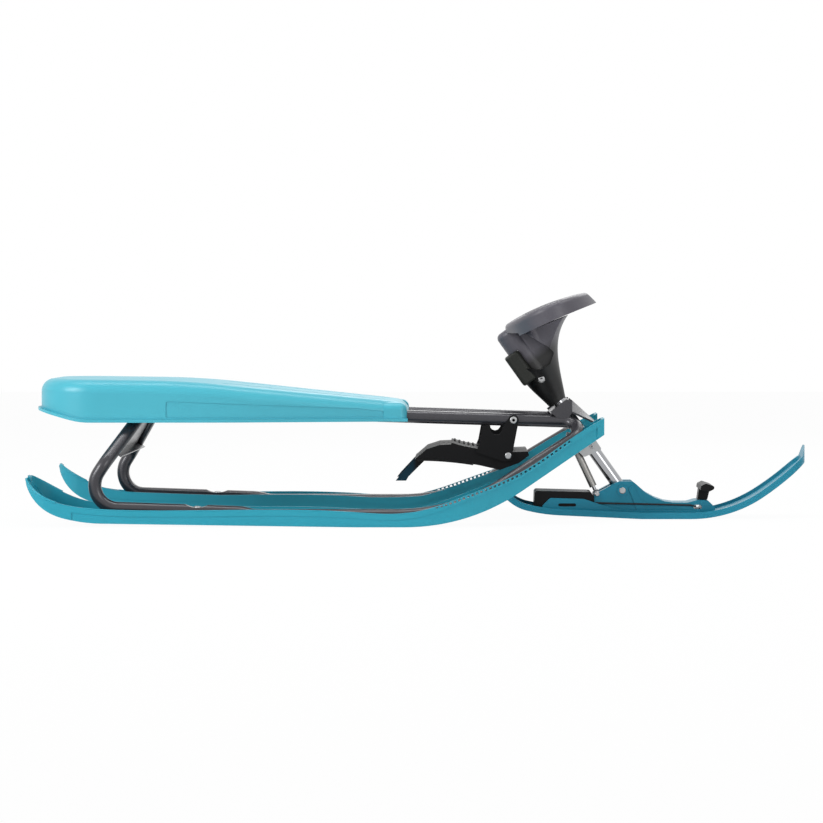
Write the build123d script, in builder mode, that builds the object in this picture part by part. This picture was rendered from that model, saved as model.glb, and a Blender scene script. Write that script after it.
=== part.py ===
from build123d import *
import os
from math import cos, hypot, radians, sin

# Steerable snow racer: two outer runners under a bent-tube frame, a moulded seat, and a
# front ski turned by a raked steering column.
# Millimetres. +X forward, +Y to the rider's left, +Z up, origin on the snow under the middle.

# ---------------------------------------------------------------- driving dimensions
fit_gap = 0.3  # seat between parts that touch
side_gap = 5.2  # at least this beside a part that turns
sheet = 2.5  # folded sheet steel

# frame tube
tube_d = 22
runner_y = 200  # centre of each runner on its flat
tube_low_z = 16.5  # tube centre where it lies on the runner's floor
step_front_x, step_rear_x, step_rise = -280, -300, 5  # joggle behind which the tube stands higher
rear_low = (-577, 31)  # corner under the rear bend, x and z
rear_knee = (-531, 103)  # where the leg leans in towards the seat
top_rear = (-472, 98, 193)  # corner of the top run under the seat
top_front = (268, 82, 170)  # corner of the top run at the head
head_low = (268, 124, 147)  # corner where the tube turns back down to the runner
lift_x = 58  # where the low run starts to climb to the head
head_bend_r, lift_bend_r, step_bend_r = 25, 300, 60
rear_bend_r, knee_bend_r, top_bend_r = 39, 30, 50
clamp_x = -374  # dimple and bolt that hold the runner
dimple_r, dimple_depth = 40, 5
bolt_d = 6

# runners
tail_x = -664
runner_tip_x = 312
runner_w = 90
tip_y_out, tip_y_in = 152, 84  # outer and inner wall at the front tip
runner_wall = 4
runner_floor = 5
flat_rear_x, flat_front_x = -108, -26  # the part of the sole on the snow
rise_angle, rise_r = 33.2, 365
outer_wall_h = 25
inner_wall_h = 24
band_h = 10  # upper band of the wall, standing proud of the rest
band_step = 1.5

# seat
seat_rear_x = -655
seat_front_x = -23
seat_rear_w = 318
seat_front_w = 206
seat_lip_z = 171
seat_wall = 4
seat_lip = 5
crown_rear_z, crown_bend_z, crown_front_z = 245, 241.5, 201.5
crown_bend_x = -400
seat_round = 22
groove_depth = 1.2

# steering
pivot_x, pivot_z = 350, 47.8  # ski pin, on the steering axis
rake = 35.5  # axis leans back from vertical
column_d = 22
column_top = 292.6  # along the axis, from the ski pin
column_foot = -13
pin_d = 8
bush_d = 30
head_top = 184.6  # upper face of the head bracket, along the axis

# steering wheel
wheel_x, wheel_z = 223, 353
wheel_tilt = 22
rim_front, rim_rear = 84, -82  # ends of the rim along its own plane
wheel_w = 310
rim_w = 26
rim_h = 28
rim_arch = 5  # the grips stand above the front and rear of the rim
front_band, rear_band = 52, 40  # depth of the rim before and behind the hand holes
spoke_half = 46  # half width of the middle, between the hand holes
grip_round = 9
hub_r = 25

# brake
brake_x, brake_z = 150, 112  # pedal pin
brake_pin_d = 8
pedal_flange = 2.5

# front ski
ski_w = 112
ski_t = 6
ski_edge_h = 11  # raised edge all round
ski_edge_w = 5
mount_half = 28
reel_half = 36
cord_d = 3

os.makedirs("parts", exist_ok=True)


def on_axis(s, t=0):
    """Point s up the steering axis from the ski pin and t in front of it, as (x, z)."""
    lean = radians(rake)
    return (pivot_x - s * sin(lean) + t * cos(lean), pivot_z + s * cos(lean) + t * sin(lean))


def axis_plane(s):
    """Plane across the steering axis, x forward and y left, at s up from the ski pin."""
    x, z = on_axis(s)
    lean = radians(rake)
    return Plane(origin=(x, 0, z), x_dir=(cos(lean), 0, sin(lean)), z_dir=(-sin(lean), 0, cos(lean)))


def side_plane(y):
    """Plane facing -Y at the given y, with x forward and local y up."""
    return Plane(origin=(0, y, 0), x_dir=(1, 0, 0), z_dir=(0, -1, 0))


def side_prism(points, y_from, y_to, radius=0):
    """Prism of an outline in x and z, between two values of y."""
    with BuildPart() as prism:
        with BuildSketch(side_plane(max(y_from, y_to))):
            with BuildLine():
                if radius:
                    FilletPolyline(*points, radius=radius, close=True)
                else:
                    Polyline(*points, close=True)
            make_face()
        extrude(amount=abs(y_to - y_from))
    return prism.part


def cross_pin(x, z, diameter, half):
    """Round bar across the sled, centred on its middle plane."""
    with BuildPart() as bar:
        with BuildSketch(side_plane(half)):
            with Locations((x, z)):
                Circle(diameter / 2)
        extrude(amount=2 * half)
    return bar.part


def save(piece, label):
    piece.label = label
    export_step(piece, f"parts/{label}.step")


def save_pair(left, name):
    """Write the left piece and its mirror image on the right."""
    save(left, f"{name}_left")
    save(mirror(left, about=Plane.XZ), f"{name}_right")


def both_sides(left):
    return [left, mirror(left, about=Plane.XZ)]


# ---------------------------------------------------------------- frame loops
seam = Vector(*top_rear) + (Vector(*top_front) - Vector(*top_rear)) * 0.5
low_seam = (-150, runner_y, tube_low_z)
step_top_z = tube_low_z + step_rise


def top_run(x):
    """Centre of the left top run at x, as (y, z)."""
    share = (x - top_rear[0]) / (top_front[0] - top_rear[0])
    return tuple(a + (b - a) * share for a, b in zip(top_rear[1:], top_front[1:]))


def low_run_z(x):
    """Height of the tube's centre between the joggle and the rear bend."""
    return step_top_z + (rear_low[1] - step_top_z) * (x - step_rear_x) / (rear_low[0] - step_rear_x)


def frame_tube(radius):
    """One closed loop of tube, swept in two halves that meet at the seams."""
    with BuildPart() as loop:
        with BuildLine() as front_half:
            FilletPolyline(
                tuple(seam),
                top_front,
                head_low,
                (lift_x, runner_y, tube_low_z),
                low_seam,
                radius=[head_bend_r, head_bend_r, lift_bend_r],
            )
        with BuildSketch(Plane(origin=seam, z_dir=front_half.line % 0)):
            Circle(radius)
        sweep(path=front_half.line)
        with BuildLine() as rear_half:
            FilletPolyline(
                low_seam,
                (step_front_x, runner_y, tube_low_z),
                (step_rear_x, runner_y, step_top_z),
                (rear_low[0], runner_y, rear_low[1]),
                (rear_knee[0], runner_y, rear_knee[1]),
                top_rear,
                tuple(seam),
                radius=[step_bend_r, step_bend_r, rear_bend_r, knee_bend_r, top_bend_r],
            )
        with BuildSketch(Plane(origin=low_seam, z_dir=rear_half.line % 0)):
            Circle(radius)
        sweep(path=rear_half.line)
    return loop.part


tube_left = frame_tube(tube_d / 2)
tube_space = frame_tube(tube_d / 2 + fit_gap)
tube_spaces = both_sides(tube_space)

clamp_z = low_run_z(clamp_x)
clamp_top_z = clamp_z + tube_d / 2 - dimple_depth
with BuildPart() as frame_loop:
    add(tube_left)
    with BuildSketch(side_plane(runner_y + tube_d)):
        with Locations((clamp_x, clamp_top_z + dimple_r)):
            Circle(dimple_r)
    extrude(amount=2 * tube_d, mode=Mode.SUBTRACT)
    with Locations((clamp_x, runner_y, clamp_z)):
        Cylinder(bolt_d / 2 + fit_gap, 2 * tube_d, mode=Mode.SUBTRACT)

save_pair(frame_loop.part, "frame_loop")


# ---------------------------------------------------------------- runners
tail_z = 6  # sole height where the tail turns up
tail_turn_x = -530
rocker_r, curl_r = 260, 95


def runner_plan(inset, outer_half=True):
    """Plan outline of the left runner, inset all round, or only the half nearer the middle."""
    tip_mid = (tip_y_out + tip_y_in) / 2
    y_out = runner_y + (runner_w / 2 - inset if outer_half else 0)
    y_in = runner_y - runner_w / 2 + inset
    tip_out = tip_y_out - inset if outer_half else tip_mid
    tip_x = runner_tip_x - inset
    tail_start = tail_x + runner_w / 2
    with BuildSketch() as plan:
        with BuildLine():
            outer = FilletPolyline(
                (tail_start, y_out), (70, y_out), (tip_x, tip_out), radius=300
            )
            inner = FilletPolyline(
                (tail_start, y_in), (70, y_in), (tip_x, tip_y_in + inset), radius=300
            )
            Line(outer @ 1, inner @ 1)
            if outer_half:
                ThreePointArc(outer @ 0, (tail_x + inset, runner_y), inner @ 0)
            else:
                tip = (tail_x + inset, runner_y)
                Line(outer @ 0, tip)
                RadiusArc(tip, inner @ 0, -(runner_w / 2 - inset))
        make_face()
    return plan.sketch


def runner_side(top_points, lift=0):
    """Side outline of a runner, x forward and y up: the sole below, a wall top through points."""
    with BuildSketch() as side:
        with BuildLine():
            flat = Line((flat_rear_x, lift), (flat_front_x, lift))
            rise = JernArc(flat @ 1, (1, 0), rise_r - lift, rise_angle)
            reach = (runner_tip_x + 2 - (rise @ 1).X) / cos(radians(rise_angle))
            ramp = PolarLine(rise @ 1, reach, rise_angle)
            rocker = Line(flat @ 0, (tail_turn_x, tail_z + lift))
            upturn = JernArc(rocker @ 1, rocker % 1, rocker_r - lift, -15)
            curl = JernArc(upturn @ 1, upturn % 1, curl_r - lift, -50)
            Line(curl @ 1, top_points[0])
            top = Spline(*top_points)
            Line(top @ 1, ramp @ 1)
        make_face()
    return side.sketch


# how far the wall tops stand above their height on the flat, at the tail and up the front
outer_rise = [(-661, 55), (-620, 22), (-565, 8), (-500, 3.5), (-108, 0), (-26, -2), (87, 31), (174, 67)]
outer_rise += [(239, 109), (277, 134), (314, 154)]
inner_rise = [(-659, 60), (-618, 36), (-577, 18), (-500, 8.5), (-287, 2), (-108, 0), (-26, 1), (31, 8)]
inner_rise += [(75, 21), (118, 39), (174, 73), (239, 114), (305, 146)]
outer_top = [(x, outer_wall_h + rise) for x, rise in outer_rise]
inner_top = [(x, inner_wall_h + rise) for x, rise in inner_rise]


def lowered(top_points, drop):
    """The same wall top, let down by drop except at the very tail."""
    return [top_points[0]] + [(x, z - drop) for x, z in top_points[1:]]


def runner_block(top_points, inset=0, lift=0, reach_z=0, outer_half=True):
    """Solid between the plan outline and a side outline."""
    with BuildPart() as block:
        with BuildSketch(side_plane(2 * runner_y)):
            add(runner_side([(x, z + reach_z) for x, z in top_points], lift))
        extrude(amount=2 * runner_y)
        with BuildSketch():
            add(runner_plan(inset, outer_half))
        extrude(amount=400, mode=Mode.INTERSECT)
    return block.part


# the inner wall has its own top line, so a second block covers the half nearer the middle
outer_block = runner_block(outer_top)
inner_block = runner_block(inner_top, outer_half=False)
channel = runner_block(outer_top, runner_wall, runner_floor, 60)

# the lower part of each wall is set back behind the upper band
band_low = runner_block(lowered(outer_top, band_h))
band_core = runner_block(lowered(outer_top, band_h), band_step)
with BuildPart() as set_back:
    add(band_low)
    add(band_core, mode=Mode.SUBTRACT)
    with Locations((-140, runner_y - 40, 0)):
        Box(880, 300, 500, mode=Mode.INTERSECT)

# cross ribs cradle the tube along the channel, closer together up the front
rib_t = 3
cradle_xs = [-520, -450, -340, -230, -120, -10, 80, 130, 170, 205, 235]
rib_space = runner_block(lowered(outer_top, 6), runner_wall / 2)
with BuildPart() as cradles:
    for x in cradle_xs:
        with Locations((x, runner_y - 40, 100)):
            Box(rib_t, 300, 250)
    with Locations((clamp_x, runner_y, 10)):
        Box(26, 40, 60)
    add(rib_space, mode=Mode.INTERSECT)

# stiffening ridges along the floor of the tail
ridge_w, ridge_h = 3, 4
ridge_space = runner_block(outer_top, runner_wall / 2)
ridge_over = runner_block(outer_top, 0, runner_floor + ridge_h, 60)
with BuildPart() as ridges:
    for y in (-18, 0, 18):
        with Locations((tail_x + 62, runner_y + y, 50)):
            Box(124, ridge_w, 100)
    add(ridge_space, mode=Mode.INTERSECT)
    add(ridge_over, mode=Mode.SUBTRACT)

with BuildPart() as runner:
    add(outer_block)
    add(inner_block)
    add(channel, mode=Mode.SUBTRACT)
    add(cradles.part)
    add(ridges.part)
    add(set_back.part, mode=Mode.SUBTRACT)
    add(tube_space, mode=Mode.SUBTRACT)
    with Locations((clamp_x, runner_y, 20)):
        Cylinder(bolt_d / 2 + fit_gap, 60, mode=Mode.SUBTRACT)

save_pair(runner.part.solids().sort_by(SortBy.VOLUME)[-1], "runner")


# ---------------------------------------------------------------- seat
def seat_plan(inset):
    """Plan outline of the seat: wide rounded tail, narrower rounded nose."""
    rear, front = seat_rear_x + inset, seat_front_x - inset
    half_rear, half_front = seat_rear_w / 2 - inset, seat_front_w / 2 - inset
    with BuildSketch() as plan:
        with BuildLine():
            edge = FilletPolyline(
                (front, 0),
                (front, half_front),
                (-330, half_rear - 4),
                (rear, half_rear),
                (rear, 0),
                radius=[55, 500, 95],
            )
            mirror(edge, about=Plane.XZ)
        make_face()
    return plan.sketch


def seat_side(low_shift, high_shift):
    """Side outline between the lip line and the crown, each moved by the given amount."""
    rear, front = seat_rear_x - 20, seat_front_x + 20
    low = seat_lip_z + low_shift
    with BuildSketch() as side:
        with BuildLine():
            lip = FilletPolyline((front, low), (-578, low), (rear, low + 24), radius=150)
            crown = FilletPolyline(
                (rear, crown_rear_z + high_shift),
                (crown_bend_x, crown_bend_z + high_shift),
                (front, crown_front_z + high_shift),
                radius=1500,
            )
            Line(lip @ 1, crown @ 0)
            Line(crown @ 1, lip @ 0)
        make_face()
    return side.sketch


def across_seat(edge):
    """Whether an edge runs from one side of the seat to the other."""
    return abs(edge.tangent_at(0.5).Y) > 0.99 and edge.length > seat_front_w


def seat_form(inset, low_shift):
    """Closed form of the seat, inset on its sides and top and carried down by low_shift."""
    with BuildPart() as form:
        with BuildSketch(Plane.XY.offset(seat_lip_z - 60)):
            add(seat_plan(inset))
        extrude(amount=170)
        with BuildSketch(side_plane(300)):
            add(seat_side(low_shift, -inset))
        extrude(amount=600, mode=Mode.INTERSECT)
        crown = form.faces().filter_by(lambda face: face.normal_at().Z > 0.9)
        fillet(crown.edges().filter_by(across_seat, reverse=True), seat_round - inset)
    return form.part


with BuildPart() as lip_band:
    with BuildSketch(Plane.XY.offset(seat_lip_z - 5)):
        add(seat_plan(-seat_lip))
    extrude(amount=60)
    with BuildSketch(side_plane(300)):
        add(seat_side(0, 0))
        add(seat_side(seat_lip, 60), mode=Mode.SUBTRACT)
    extrude(amount=600, mode=Mode.INTERSECT)

# ribs inside the seat carry it on the top runs of the frame
rib_xs = [-420, -300, -180, -60]
seat_rib_t = 4
seat_outside = seat_form(0, 0)
seat_inside = seat_form(seat_wall, -60)
rib_reach = seat_form(seat_wall / 2, 0)
with BuildPart() as ribs:
    for x in rib_xs:
        with BuildSketch(Plane.YZ.offset(x)):
            with Locations((0, 186)):
                Rectangle(300, 80, align=(Align.CENTER, Align.MIN))
        extrude(amount=seat_rib_t)
    add(rib_reach, mode=Mode.INTERSECT)

# long shallow panel let into each side of the shell
panel_core = seat_form(band_step, -10)
panel_points = [(-432, 179), (-58, 179), (-58, 188), (-110, 194), (-432, 207)]
with BuildPart() as side_panels:
    add(side_prism(panel_points, -200, 200, radius=4))
    add(panel_core, mode=Mode.SUBTRACT)

# grooves fan out from the spine over the flat of the crown
crown_slope = (crown_front_z - crown_bend_z) / (seat_front_x + 20 - crown_bend_x)
crown_plane = Plane(
    origin=(crown_bend_x, 0, crown_bend_z),
    x_dir=Vector(1, 0, crown_slope),
    z_dir=Vector(-crown_slope, 0, 1),
)
groove_xs = [80, 120, 160, 200, 240, 280, 320]
groove_w, groove_l, groove_turn = 7, 46, 32
with BuildPart() as grooves:
    with BuildSketch(crown_plane):
        for side in (1, -1):
            for along in groove_xs:
                with Locations(Location((along, side * 62, 0), side * (180 - groove_turn))):
                    SlotCenterToCenter(groove_l, groove_w)
    extrude(amount=groove_depth, both=True)

with BuildPart() as seat:
    add(seat_outside)
    add(lip_band.part)
    add(seat_inside, mode=Mode.SUBTRACT)
    add(ribs.part)
    add(side_panels.part, mode=Mode.SUBTRACT)
    add(grooves.part, mode=Mode.SUBTRACT)
    for space in tube_spaces:
        add(space, mode=Mode.SUBTRACT)

save(seat.part.solids().sort_by(SortBy.VOLUME)[-1], "seat")


# ---------------------------------------------------------------- rear brace
# a folded plate between the splayed rear legs, with a lip along each long edge
leg_low = Vector(rear_knee[0], runner_y, rear_knee[1])
leg_run = Vector(*top_rear) - leg_low
brace_low_z, brace_high_z = 122, 184
brace_lip = 16


def leg_point(z):
    """Point on the centreline of the left rear leg at height z."""
    return leg_low + leg_run * ((z - leg_low.Z) / leg_run.Z)


def brace_plate(z_low, z_high, depth, start):
    """Slab across both legs, start behind the leg line and depth thick."""
    low, high = leg_point(z_low), leg_point(z_high)
    slope = Vector(high.X - low.X, 0, high.Z - low.Z).normalized()
    behind = Vector(-slope.Z, 0, slope.X)
    along = hypot(high.X - low.X, high.Z - low.Z)
    plane = Plane(origin=Vector(low.X, 0, low.Z) + behind * start, x_dir=(0, 1, 0), z_dir=behind)
    side = 1 if plane.y_dir.Z > 0 else -1
    with BuildPart() as slab:
        with BuildSketch(plane):
            with BuildLine():
                Polyline(
                    (-low.Y, 0), (low.Y, 0), (high.Y, side * along), (-high.Y, side * along), close=True
                )
            make_face()
        extrude(amount=depth)
    return slab.part


brace_web = brace_plate(brace_low_z, brace_high_z, sheet, -sheet / 2)
brace_low_lip = brace_plate(brace_low_z, brace_low_z + 2, brace_lip, -brace_lip)
brace_high_lip = brace_plate(brace_high_z - 2, brace_high_z, brace_lip, -brace_lip)
with BuildPart() as rear_brace:
    add(brace_web)
    add(brace_low_lip)
    add(brace_high_lip)
    for space in tube_spaces:
        add(space, mode=Mode.SUBTRACT)

save(rear_brace.part.solids().sort_by(SortBy.VOLUME)[-1], "rear_brace")


# ---------------------------------------------------------------- head bracket
ear_y = top_front[1] + 8  # inner face of each ear, against the flank of the top run
hat_rear = (260, 60, 207, 95, 188)  # section of the front plate: x, then top and side corners
hat_front = (299, 60, 172, 72, 169.5)


def hat_section(x, top_y, top_z, side_y, side_z):
    """Thin flat-topped section with sloping sides, across the sled at x."""
    right = [(-side_y, side_z), (-top_y, top_z)]
    over = right + [(-y, z) for y, z in reversed(right)]
    under = [(y, z - sheet - 1) for y, z in reversed(over)]
    with BuildSketch(Plane.YZ.offset(x)) as section:
        with BuildLine():
            Polyline(*over, *under, close=True)
        make_face()
    return section.sketch


with BuildPart() as hat_plate:
    add(hat_section(*hat_rear))
    add(hat_section(*hat_front))
    loft(ruled=True)

ear_points = [(222, 187), (250, 208), (260, 207), (260, 186), (254, 177), (246, 173), (236, 175)]
with BuildPart() as head_bracket:
    for side in (1, -1):
        add(side_prism(ear_points, side * ear_y, side * (ear_y + sheet)))
    with BuildSketch(axis_plane(head_top - sheet)):
        with Locations((-4, 0)):
            Rectangle(40, 2 * (ear_y + sheet))
        Circle(bush_d / 2 + fit_gap, mode=Mode.SUBTRACT)
    extrude(amount=sheet)
    add(hat_plate.part)
    for space in tube_spaces:
        add(space, mode=Mode.SUBTRACT)

save(head_bracket.part.solids().sort_by(SortBy.VOLUME)[-1], "head_bracket")

bush_l = 14
with BuildPart() as bush:
    with BuildSketch(axis_plane(head_top - bush_l)):
        Circle(bush_d / 2)
        Circle(column_d / 2 + fit_gap / 3, mode=Mode.SUBTRACT)
    extrude(amount=bush_l)
save(bush.part, "head_bush")


# ---------------------------------------------------------------- steering column and wheel
with BuildPart() as column:
    with BuildSketch(axis_plane(column_foot)):
        Circle(column_d / 2)
    extrude(amount=column_top - column_foot)
    add(cross_pin(pivot_x, pivot_z, pin_d + 2 * fit_gap, 2 * column_d), mode=Mode.SUBTRACT)

save(column.part, "steering_column")

# wheel_plane lies along the rim, x forward and y left; its normal points back at the rider
wheel_plane = Plane(
    origin=(wheel_x, 0, wheel_z),
    x_dir=(cos(radians(wheel_tilt)), 0, sin(radians(wheel_tilt))),
    z_dir=(-sin(radians(wheel_tilt)), 0, cos(radians(wheel_tilt))),
)
wheel_side = Plane(origin=wheel_plane.origin, x_dir=wheel_plane.x_dir, z_dir=(0, -1, 0))
hole_rear, hole_front = rim_rear + rear_band, rim_front - front_band
hole_end = wheel_w / 2 - rim_w

with BuildPart() as rim:
    with BuildSketch(wheel_side.offset(-wheel_w)):
        with BuildLine():
            rear_top, front_top = (rim_rear + 4, rim_h / 2 - 2), (rim_front - 13, rim_h / 2)
            front_low, rear_foot = (rim_front, -rim_h / 2 + 4), (rim_rear, -rim_h / 2)
            ThreePointArc(rear_top, (0, rim_h / 2 + rim_arch), front_top)
            Line(front_top, front_low)
            ThreePointArc(front_low, (0, -rim_h / 2 + rim_arch), rear_foot)
            Line(rear_foot, rear_top)
        make_face()
    extrude(amount=2 * wheel_w)
    with BuildSketch(wheel_plane.offset(-rim_h)):
        with Locations(((rim_front + rim_rear) / 2, 0)):
            Ellipse((rim_front - rim_rear) / 2 + 1, wheel_w / 2)
    extrude(amount=2 * rim_h, mode=Mode.INTERSECT)
    fillet(rim.faces().sort_by(Axis(wheel_plane.origin, wheel_plane.z_dir))[-1].edges(), grip_round)

with BuildPart() as hand_holes:
    with BuildSketch(wheel_plane.offset(-2 * rim_h)):
        for side in (1, -1):
            with BuildLine():
                FilletPolyline(
                    (hole_rear, side * spoke_half),
                    (hole_front, side * spoke_half),
                    (hole_front - 6, side * (hole_end - 12)),
                    ((hole_rear + hole_front) / 2, side * hole_end),
                    (hole_rear + 2, side * (hole_end - 12)),
                    radius=11,
                    close=True,
                )
            make_face()
    extrude(amount=3 * rim_h)

# the body spreads from the stem round the column to the underside of the rim
body_sections = [(side_gap, -2, 16.5, 16.5), (41, 2.5, 28, 25), (66, 7, 36, 38)]  # up, ahead, half x, half y
with BuildPart() as body:
    for up, ahead, half_x, half_y in body_sections:
        with BuildSketch(axis_plane(head_top + up)):
            with Locations((ahead, 0)):
                Ellipse(half_x, half_y)
    with BuildSketch(wheel_plane.offset(2 - rim_h / 2)):
        with Locations((-16, 0)):
            Ellipse(47, 72)
    loft()

hub_low, hub_high = head_top + 60, head_top + 161
with BuildPart() as hub:
    with BuildSketch(axis_plane(hub_low)):
        Circle(hub_r)
    extrude(amount=hub_high - hub_low)
    fillet(hub.edges().filter_by(GeomType.CIRCLE).sort_by(Axis.Z)[-1], 10)

# pockets under the rim, either side of the spine that holds the column
spine_half = 22
pocket_points = [
    (128, 300), (150, 322), (180, 322), (222, 297), (231, 288), (224, 268), (206, 258), (170, 262)
]
with BuildPart() as pockets:
    for side in (1, -1):
        add(side_prism(pocket_points, side * spine_half, side * 100, radius=4))

pad_low, pad_high = head_top + 62, head_top + 121
pad_half, pad_deep, pad_back = 38, 28, -20


def pad_form(grow):
    """The soft pad behind the hub, grown all round."""
    with BuildPart() as form:
        with BuildSketch(axis_plane(pad_low - grow)):
            with Locations((pad_back, 0)):
                RectangleRounded(pad_deep + 2 * grow, 2 * (pad_half + grow), 8 + grow)
        extrude(amount=pad_high - pad_low + 2 * grow)
        ends = form.faces().filter_by(Axis(axis_plane(0).origin, axis_plane(0).z_dir))
        fillet(ends.edges(), 4 + grow)
    return form.part


pad_solid = pad_form(0)
pad_room = pad_form(fit_gap)

with BuildPart() as column_room:
    with BuildSketch(axis_plane(column_foot)):
        Circle(column_d / 2 + fit_gap)
    extrude(amount=column_top - column_foot + fit_gap)

with BuildPart() as wheel:
    add(rim.part)
    add(body.part)
    add(hand_holes.part, mode=Mode.SUBTRACT)
    add(pockets.part, mode=Mode.SUBTRACT)
    add(hub.part)
    add(pad_room, mode=Mode.SUBTRACT)
    add(column_room.part, mode=Mode.SUBTRACT)

save(wheel.part.solids().sort_by(SortBy.VOLUME)[-1], "steering_wheel")

with BuildPart() as pad:
    add(pad_solid)
    add(column_room.part, mode=Mode.SUBTRACT)

save(pad.part.solids().sort_by(SortBy.VOLUME)[-1], "wheel_pad")


# ---------------------------------------------------------------- column bracket and damper
eye_pin_d = 6
eye_d = 14
damper_d = 13
damper_top = on_axis(127.4, -(column_d / 2 + eye_d / 2 + 1.7))
damper_foot = (306, 42)
body_part = 0.88  # share of the eye-to-eye length that is cylinder
fork_y = column_d / 2 + fit_gap  # inner face of the bracket's cheeks
fork_front = fork_y + sheet

cheek_points = [
    on_axis(78, fork_front - 1), on_axis(113, fork_front), on_axis(123, -14), on_axis(140, -18),
    on_axis(126, -30), on_axis(85, -20),
]
fork_room = [on_axis(60, fork_y), on_axis(160, fork_y), on_axis(160, -80), on_axis(60, -80)]
top_eye_hole = cross_pin(*damper_top, eye_pin_d + 2 * fit_gap, 60)
foot_eye_hole = cross_pin(*damper_foot, eye_pin_d + 2 * fit_gap, 60)

with BuildPart() as column_bracket:
    add(side_prism(cheek_points, -fork_y - sheet, fork_y + sheet, radius=3))
    add(side_prism(fork_room, -fork_y, fork_y), mode=Mode.SUBTRACT)
    add(top_eye_hole, mode=Mode.SUBTRACT)

save(column_bracket.part, "column_bracket")

damper_start = Vector(damper_top[0], 0, damper_top[1])
damper_run = Vector(damper_foot[0], 0, damper_foot[1]) - damper_start
damper_line = damper_run.normalized()
rod_start = damper_start + damper_run * body_part

with BuildPart() as damper:
    with BuildSketch(Plane(origin=damper_start, z_dir=damper_line)):
        Circle(damper_d / 2)
    extrude(amount=damper_run.length * body_part)
    add(cross_pin(*damper_top, eye_d, fork_y - fit_gap))
    add(top_eye_hole, mode=Mode.SUBTRACT)

save(damper.part, "damper_body")

rod_d = 6
rod_eye_half = 8
with BuildPart() as damper_rod:
    with BuildSketch(Plane(origin=rod_start, z_dir=damper_line)):
        Circle(rod_d / 2)
    extrude(amount=damper_run.length * (1 - body_part))
    add(cross_pin(*damper_foot, eye_d, rod_eye_half))
    add(foot_eye_hole, mode=Mode.SUBTRACT)

save(damper_rod.part, "damper_rod")

pin_proud = 3
save(cross_pin(*damper_top, eye_pin_d, fork_y + sheet + pin_proud), "damper_top_pin")
save(cross_pin(*damper_foot, eye_pin_d, mount_half + pin_proud), "damper_foot_pin")


# ---------------------------------------------------------------- brake
hanger_y = top_run(brake_x)[0] + tube_d / 2 + 2 * fit_gap  # inner face, beside the top run
hanger_bolt = (159, 173)
hanger_bolt_r = 9
hanger_points = [
    (100, 132), (106, 164), (119, 164), (120, 154), (125, 149), (130, 147.5), (135, 149), (139, 154),
    (142, 164), (150.5, 176), (167.5, 170), (158, 120), (156, 104), (142, 102), (94, 118),
]
with BuildPart() as hanger:
    with BuildSketch(side_plane(hanger_y + sheet)):
        with BuildLine():
            Polyline(*hanger_points, close=True)
        make_face()
        with Locations(hanger_bolt):
            Circle(hanger_bolt_r)
        with Locations((brake_x, brake_z)):
            Circle(brake_pin_d / 2 + 5)
            Circle(brake_pin_d / 2 + fit_gap, mode=Mode.SUBTRACT)
    extrude(amount=sheet)

save_pair(hanger.part, "brake_hanger")

pedal_half = hanger_y - side_gap
claw_y, claw_t = 60, 3
pedal_points = [
    (186, 112), (184, 119), (156, 118), (96, 124), (74, 128), (53, 134), (52, 131), (32, 130),
    (10, 123), (-11, 105), (5, 103), (67, 101), (101, 95), (136, 87), (168, 99),
]
pedal_room = [
    (200, 109), (184, 116), (156, 115), (96, 121), (74, 125), (33, 126.5), (12, 120), (-4, 106),
    (5, 80), (200, 80),
]
claw_points = [(-9, 106), (-37, 76), (-44, 67), (-26, 67), (-22, 74), (7, 103), (13, 121)]
with BuildPart() as pedal:
    add(side_prism(pedal_points, -pedal_half, pedal_half))
    inner_half = pedal_half - pedal_flange
    add(side_prism(pedal_room, -inner_half, inner_half), mode=Mode.SUBTRACT)
    add(cross_pin(brake_x, brake_z, brake_pin_d + 2 * fit_gap, 2 * pedal_half), mode=Mode.SUBTRACT)
    for y in (-claw_y, claw_y):
        add(side_prism(claw_points, y - claw_t / 2, y + claw_t / 2))

save(pedal.part, "brake_pedal")

save(cross_pin(brake_x, brake_z, brake_pin_d, hanger_y + sheet + pin_proud), "brake_pin")


# ---------------------------------------------------------------- front ski
def ski_side(lift):
    """Everything above the ski's sole line raised by lift, x forward and y up."""
    with BuildSketch() as side:
        with BuildLine():
            flat = Line((382, lift), (467, lift))
            rise = JernArc(flat @ 1, (1, 0), 230 - lift, 33)
            nose = JernArc(rise @ 1, rise % 1, 500 - lift, 8)
            ahead = PolarLine(nose @ 1, 30, 41)
            rocker = Line(flat @ 0, (240, 6.5 + lift))
            heel = JernArc(rocker @ 1, rocker % 1, 300 - lift, -11)
            curl = JernArc(heel @ 1, heel % 1, 75 - lift, -23)
            behind = PolarLine(curl @ 1, 50, 143.4)
            Polyline(behind @ 1, (100, 300), (720, 300), ahead @ 1)
        make_face()
    return side.sketch


ski_tip_x, ski_heel_x = 669, 136


def ski_plan(inset):
    """Plan outline of the front ski, inset all round."""
    half = ski_w / 2 - inset
    front, rear = ski_tip_x - inset, ski_heel_x + inset
    with BuildSketch() as plan:
        with BuildLine():
            edge = FilletPolyline(
                (front, 0), (front, half - 16), (560, half), (rear, half), (rear, 0),
                radius=[34 - inset, 300, 34 - inset],
            )
            mirror(edge, about=Plane.XZ)
        make_face()
    return plan.sketch


with BuildPart() as ski_floor_up:
    with BuildSketch(side_plane(200)):
        add(ski_side(ski_t))
    extrude(amount=400)
    with BuildSketch():
        add(ski_plan(ski_edge_w))
    extrude(amount=300, mode=Mode.INTERSECT)

with BuildPart() as ski:
    with BuildSketch(side_plane(200)):
        add(ski_side(0))
        add(ski_side(ski_edge_h), mode=Mode.SUBTRACT)
    extrude(amount=400)
    with BuildSketch():
        add(ski_plan(0))
    extrude(amount=300, mode=Mode.INTERSECT)
    add(ski_floor_up.part, mode=Mode.SUBTRACT)

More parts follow.
